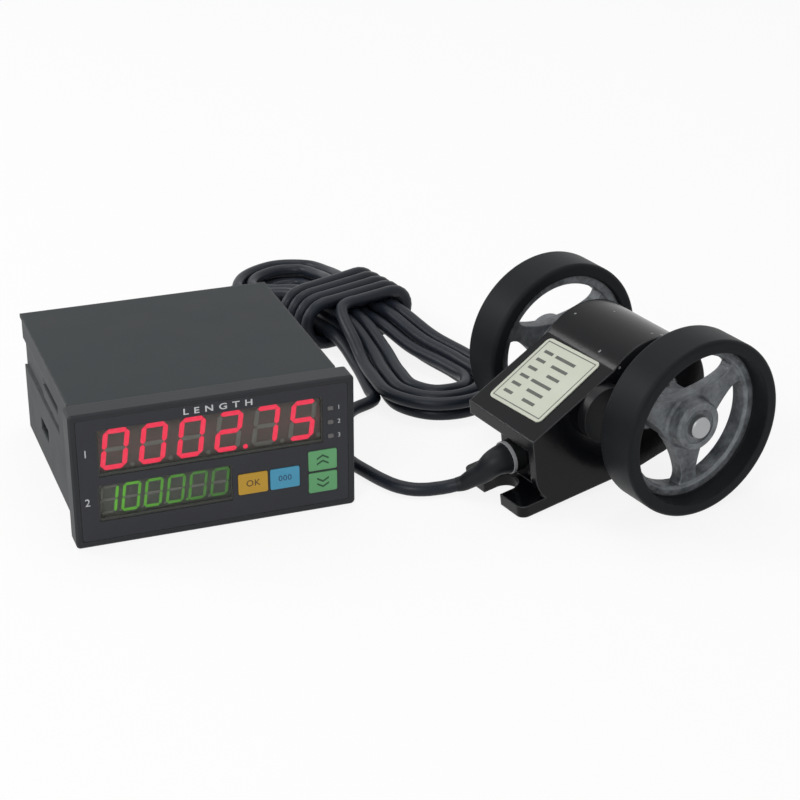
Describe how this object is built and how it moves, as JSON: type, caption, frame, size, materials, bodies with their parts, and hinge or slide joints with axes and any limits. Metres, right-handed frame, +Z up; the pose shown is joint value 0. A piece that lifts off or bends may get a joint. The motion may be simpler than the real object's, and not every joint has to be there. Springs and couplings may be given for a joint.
{
  "type": "cable length counter",
  "caption": "Panel-mounted length counter with two-row display and keys, wired to a two-wheeled measuring encoder on a slotted foot.",
  "frame": {"origin": "on the table, under the middle of the box round counter and encoder", "axes": "+X to the right along the counter's front, from the counter to the encoder; +Y from the front to the back; +Z up"},
  "size_m": [0.2342, 0.2538, 0.0637],
  "materials": {
    "case_plastic": "fine grained black plastic",
    "bezel_plastic": "fine grained black plastic",
    "overlay_film": "satin printed film",
    "window_plastic": "clear tinted plastic",
    "display_plastic": "smooth grey face",
    "lit_red": "lit segment",
    "lit_green": "lit segment",
    "unlit": "unlit segment",
    "lamp_plastic": "clear lamp",
    "amber_key": "smooth coloured key",
    "blue_key": "smooth coloured key",
    "green_key": "smooth coloured key",
    "part_plastic": "moulded component",
    "board": "solder masked board",
    "core_steel": "laminated steel",
    "coil_tape": "wound copper under tape",
    "relay_plastic": "moulded case",
    "can_sleeve": "shrink sleeve on an aluminium can",
    "terminal_plastic": "moulded terminal block",
    "plated_steel": "zinc plated",
    "housing_paint": "gloss black paint on die-cast metal",
    "cap_plastic": "black plastic",
    "plate_film": "printed silver plate",
    "bearing_steel": "ground steel",
    "axle_steel": "ground steel",
    "hub_casting": "grey paint on die-cast aluminium",
    "tyre_rubber": "moulded rubber",
    "disc_steel": "etched disc",
    "gland_plastic": "grey plastic",
    "relief_rubber": "moulded rubber",
    "cable_sheath": "soft black sheath",
    "core_sheath": "thin coloured insulation"
  },
  "bodies": {
    "counter_and_encoder": {"counter_case": "case_plastic", "front_bezel": "bezel_plastic", "front_overlay": "overlay_film", "pv_window": "window_plastic", "sv_window": "window_plastic", "pv_display": "display_plastic", "sv_display": "display_plastic", "pv_digits": "lit_red", "sv_digits": "lit_green", "unlit_segments": "unlit", "indicator_lamps": "lamp_plastic", "key_switches": "part_plastic", "display_board": "board", "control_chip": "part_plastic", "board_header": "part_plastic", "main_board": "board", "transformer_core": "core_steel", "transformer_coil": "coil_tape", "output_relays": "relay_plastic", "smoothing_capacitor": "can_sleeve", "terminal_block": "terminal_plastic", "terminal_screws": "plated_steel", "wire_clamps": "plated_steel", "encoder_housing": "housing_paint", "side_cap": "cap_plastic", "base_cover": "cap_plastic", "cover_screws": "plated_steel", "rating_plate": "plate_film", "near_bearing": "bearing_steel", "far_bearing": "bearing_steel", "optical_sensor": "part_plastic", "sensor_board": "board", "gland_ring": "gland_plastic", "sensor_lead": "cable_sheath", "strain_relief": "relief_rubber", "cable_run": "cable_sheath", "cable_hank": "cable_sheath", "cable_tail": "cable_sheath", "cable_cores": "core_sheath"},
    "wheel_set": {"wheel_axle": "axle_steel", "axle_spacers": "bearing_steel", "near_hub": "hub_casting", "far_hub": "hub_casting", "near_tyre": "tyre_rubber", "far_tyre": "tyre_rubber", "hub_screws": "part_plastic", "code_disc": "disc_steel"},
    "set_button": {"set_key": "amber_key"},
    "reset_button": {"reset_key": "blue_key"},
    "up_button": {"up_key": "green_key"},
    "down_button": {"down_key": "green_key"}
  },
  "joints": [
    {"name": "wheel_spin", "type": "hinge", "parent": "counter_and_encoder", "child": "wheel_set", "pos_m": [0.07636, -0.02197, 0.03183], "axis": [-0.2079, 0.9781, 0], "continuous": true},
    {"name": "set_press", "type": "slide", "parent": "counter_and_encoder", "child": "set_button", "axis": [0, 0.9998, -0.0205], "range_m": [0, 0.0004], "stiffness_N_per_m": 800},
    {"name": "reset_press", "type": "slide", "parent": "counter_and_encoder", "child": "reset_button", "axis": [0, 0.9998, -0.0205], "range_m": [0, 0.0004], "stiffness_N_per_m": 800},
    {"name": "up_press", "type": "slide", "parent": "counter_and_encoder", "child": "up_button", "axis": [0, 0.9998, -0.0205], "range_m": [0, 0.0004], "stiffness_N_per_m": 800},
    {"name": "down_press", "type": "slide", "parent": "counter_and_encoder", "child": "down_button", "axis": [0, 0.9998, -0.0205], "range_m": [0, 0.0004], "stiffness_N_per_m": 800}
  ]
}
